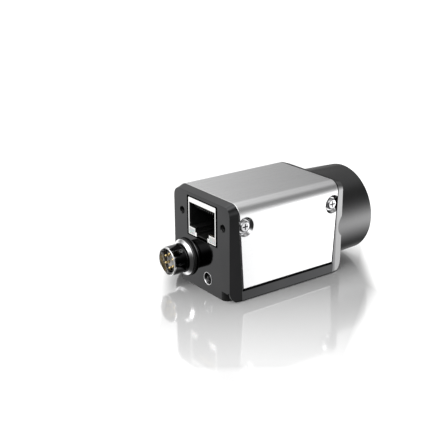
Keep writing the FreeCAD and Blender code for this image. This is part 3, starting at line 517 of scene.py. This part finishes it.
# ------------------------------------------------------- floor and lights
def stage_plane():
    """pale acrylic table: matt white under a glossy face; its emission is painted light
    over the floor, with a painted shadow round the middle, where the object stands"""
    s = 8.0
    me = bpy.data.meshes.new("floor")
    bm = bmesh.new()
    bmesh.ops.create_grid(bm, x_segments=4, y_segments=4, size=s)
    bm.to_mesh(me)
    bm.free()
    o = bpy.data.objects.new("floor", me)
    o.location = (0, 0, -0.00002)
    bpy.context.scene.collection.objects.link(o)
    m = bpy.data.materials.new("pale_floor")
    m.use_nodes = True
    nt = m.node_tree
    nt.nodes.clear()
    out = nt.nodes.new("ShaderNodeOutputMaterial")
    mixn = nt.nodes.new("ShaderNodeMixShader")
    dif = nt.nodes.new("ShaderNodeBsdfDiffuse")
    dif.inputs["Color"].default_value = (FLOOR_WHITE, FLOOR_WHITE, FLOOR_WHITE, 1)
    glo = nt.nodes.new("ShaderNodeBsdfGlossy")
    glo.inputs["Color"].default_value = (1, 1, 1, 1)
    glo.inputs["Roughness"].default_value = FLOOR_ROUGH
    mixn.inputs[0].default_value = FLOOR_GLOSS
    nt.links.new(dif.outputs[0], mixn.inputs[1])
    nt.links.new(glo.outputs[0], mixn.inputs[2])
    tc = nt.nodes.new("ShaderNodeTexCoord")

    def vec(op, v, out):
        n = nt.nodes.new("ShaderNodeVectorMath")
        n.operation = op
        nt.links.new(tc.outputs["Object"], n.inputs[0])
        n.inputs[1].default_value = v
        return n.outputs[out]

    def ramp(value, a, b, lo, hi, kind="SMOOTHSTEP"):
        n = nt.nodes.new("ShaderNodeMapRange")
        n.interpolation_type = kind
        for key, x in (("From Min", a), ("From Max", b), ("To Min", lo), ("To Max", hi)):
            n.inputs[key].default_value = x
        nt.links.new(value, n.inputs["Value"])
        return n.outputs["Result"]

    def both(op, a, b=None):
        n = nt.nodes.new("ShaderNodeMath")
        n.operation = op
        nt.links.new(a, n.inputs[0])
        if b is not None:
            nt.links.new(b, n.inputs[1])
        return n.outputs[0]

    # painted floor light: the emission paints a shadow, darkest in front of the connector corner, and full light
    # outside it
    along = vec("DOT_PRODUCT", (-0.813, 0.583, 0.0), "Value")
    left = vec("DOT_PRODUCT", (0.583, 0.813, 0.0), "Value")
    right = vec("DOT_PRODUCT", (-0.892, -0.592, 0.0), "Value")
    front = vec("DOT_PRODUCT", (-0.583, -0.813, 0.0), "Value")
    floor_painted_light = ramp(along, 0.010, 0.058, PAINTED_SHADOW_LEVEL, PAINTED_LIGHT_MID, "LINEAR")
    floor_painted_light = both("MAXIMUM", floor_painted_light, ramp(along, 0.053, 0.064, 0.0, PAINTED_LIGHT_FULL))
    floor_painted_light = both("MAXIMUM", floor_painted_light, ramp(left, 0.027, 0.034, 0.0, PAINTED_LIGHT_FULL))
    floor_painted_light = both("MAXIMUM", floor_painted_light, ramp(right, 0.0325, 0.040, 0.0, PAINTED_LIGHT_FULL))
    floor_painted_light = both("MAXIMUM", floor_painted_light, ramp(front, 0.0285, 0.034, 0.0, PAINTED_LIGHT_FULL + 0.25))
    floor_painted_light = both("MAXIMUM", floor_painted_light, ramp(vec("DISTANCE", PAINTED_SHADOW_CENTRE, "Value"), 0.036, 0.052, 0.0, PAINTED_LIGHT_FULL))
    em = nt.nodes.new("ShaderNodeEmission")
    nt.links.new(floor_painted_light, em.inputs["Strength"])
    add = nt.nodes.new("ShaderNodeAddShader")
    nt.links.new(mixn.outputs[0], add.inputs[0])
    nt.links.new(em.outputs[0], add.inputs[1])
    nt.links.new(add.outputs[0], out.inputs[0])
    me.materials.append(m)
    o.visible_glossy = False
    o.visible_diffuse = False
    return o


# painted floor light: centre of the painted shadow round the object, then the emission near the object, midway
# and full outside
PAINTED_SHADOW_CENTRE = (-0.014, 0.012, 0.0)
PAINTED_SHADOW_LEVEL, PAINTED_LIGHT_MID, PAINTED_LIGHT_FULL = 0.0, 0.40, 0.56
FLOOR_WHITE, FLOOR_GLOSS, FLOOR_ROUGH = 0.62, 0.42, 0.08

# azimuth is measured from +X towards +Y, both angles in degrees
# soft panels round the studio: azimuth, elevation, strength.  Each one is a
# smooth glow about 20 degrees wide in the surrounding light
STUDIO = [
    (0.0, -75, 1.10), (22.5, -52, 0.93), (337.5, -52, 0.27), (221.5, -32, 0.70),
    (249.2, -32, 0.58), (304.6, -32, 0.28), (33.8, -14, 1.43), (191.2, -14, 0.50),
    (236.2, -14, 3.25), (258.8, -14, 3.95), (348.8, -14, 0.31), (0.0, 4, 0.85), (80.0, 4, 0.32),
    (200.0, 4, 0.54), (240.0, 4, 0.36), (340.0, 4, 1.38), (78.8, 22, 0.95), (168.8, 22, 0.55),
    (191.2, 22, 0.72), (281.2, 22, 0.56), (0.0, 40, 0.60), (30.0, 40, 0.50), (60.0, 40, 1.00),
    (90.0, 40, 1.60), (120.0, 40, 1.90), (150.0, 40, 1.60), (112.5, 60, 2.00),
    (210.0, 40, 0.39), (330.0, 40, 1.09), (247.5, 60, 0.78), (292.5, 60, 0.52),
    (337.5, 60, 1.86), (0.0, 85, 0.69), (120.0, 85, 0.42), (240.0, 85, 1.35),
]
STUDIO_BASE = 0.04
STUDIO_K = 24.0
LIGHTS = []


def area(name, az, el, dist, w, h, power):
    a, e = math.radians(az), math.radians(el)
    d = Vector((math.cos(a) * math.cos(e), math.sin(a) * math.cos(e), math.sin(e)))
    L = bpy.data.lights.new(name, "AREA")
    L.shape = "RECTANGLE"
    L.size, L.size_y = w, h
    L.energy = power
    o = bpy.data.objects.new(name, L)
    o.location = d * dist + Vector((0, 0, 0.015))
    o.rotation_euler = (-d).to_track_quat("-Z", "Y").to_euler()
    bpy.context.scene.collection.objects.link(o)
    return o


def backdrop():
    """plain white hall round the table, seen directly only"""
    me = bpy.data.meshes.new("backdrop")
    bm = bmesh.new()
    bmesh.ops.create_uvsphere(bm, u_segments=48, v_segments=24, radius=7.5)
    bmesh.ops.delete(bm, geom=[v for v in bm.verts if v.co.z < -0.9], context="VERTS")
    bmesh.ops.reverse_faces(bm, faces=bm.faces)
    bm.to_mesh(me)
    bm.free()
    o = bpy.data.objects.new("backdrop", me)
    bpy.context.scene.collection.objects.link(o)
    m = bpy.data.materials.new("white_hall")
    m.use_nodes = True
    nt = m.node_tree
    nt.nodes.clear()
    em = nt.nodes.new("ShaderNodeEmission")
    em.inputs["Strength"].default_value = 1.0
    out = nt.nodes.new("ShaderNodeOutputMaterial")
    nt.links.new(em.outputs[0], out.inputs[0])
    me.materials.append(m)
    for ray in ("diffuse", "glossy", "transmission", "volume_scatter", "shadow"):
        setattr(o, "visible_" + ray, False)
    return o


floor = stage_plane()
hall = backdrop()
lights = [area(*l) for l in LIGHTS]
world = bpy.data.worlds.new("studio")
bpy.context.scene.world = world
world.use_nodes = True


def studio_world(w, panels, k, base):
    nt = w.node_tree
    nt.nodes.clear()
    out = nt.nodes.new("ShaderNodeOutputWorld")
    bg = nt.nodes.new("ShaderNodeBackground")
    tc = nt.nodes.new("ShaderNodeTexCoord")
    nt.links.new(bg.outputs[0], out.inputs[0])
    total = None
    for az, el, power in panels:
        a, e = math.radians(az), math.radians(el)
        dot = nt.nodes.new("ShaderNodeVectorMath")
        dot.operation = "DOT_PRODUCT"
        nt.links.new(tc.outputs["Generated"], dot.inputs[0])
        dot.inputs[1].default_value = (math.cos(a) * math.cos(e), math.sin(a) * math.cos(e), math.sin(e))
        # power * exp(k * (dot - 1)) = exp(k * dot + log(power) - k)
        lin = nt.nodes.new("ShaderNodeMath")
        lin.operation = "MULTIPLY_ADD"
        lin.inputs[1].default_value = k
        lin.inputs[2].default_value = math.log(power) - k
        nt.links.new(dot.outputs["Value"], lin.inputs[0])
        ex = nt.nodes.new("ShaderNodeMath")
        ex.operation = "EXPONENT"
        nt.links.new(lin.outputs[0], ex.inputs[0])
        add = nt.nodes.new("ShaderNodeMath")
        add.operation = "ADD"
        nt.links.new(ex.outputs[0], add.inputs[0])
        if total is None:
            add.inputs[1].default_value = base
        else:
            nt.links.new(total, add.inputs[1])
        total = add.outputs[0]
    nt.links.new(total, bg.inputs["Color"])


studio_world(world, STUDIO, STUDIO_K, STUDIO_BASE)
sc = bpy.context.scene
sc.view_settings.view_transform = "Standard"
sc.view_settings.look = "None"

# -------------------------------------------------------------- camera
cam_data = bpy.data.cameras.new("camera")
cam = bpy.data.objects.new("camera", cam_data)
bpy.context.scene.collection.objects.link(cam)
cam_data.sensor_width = 36.0
cam_data.lens = 75.2445
cam_data.clip_start = 0.01
cam_data.clip_end = 60.0
RX = Vector((-0.58464039, -0.81126179, -0.00706495))
RY = Vector((-0.26680572, 0.20048435, -0.94266682))
RZ = Vector((0.76616599, -0.54923613, -0.33366054))
rot = Matrix((RX, -RY, -RZ)).transposed()
cam.matrix_world = Matrix.Translation(Vector((-0.1980758963, 0.1608996012, 0.1080957710))) @ rot.to_4x4()
sc.camera = cam
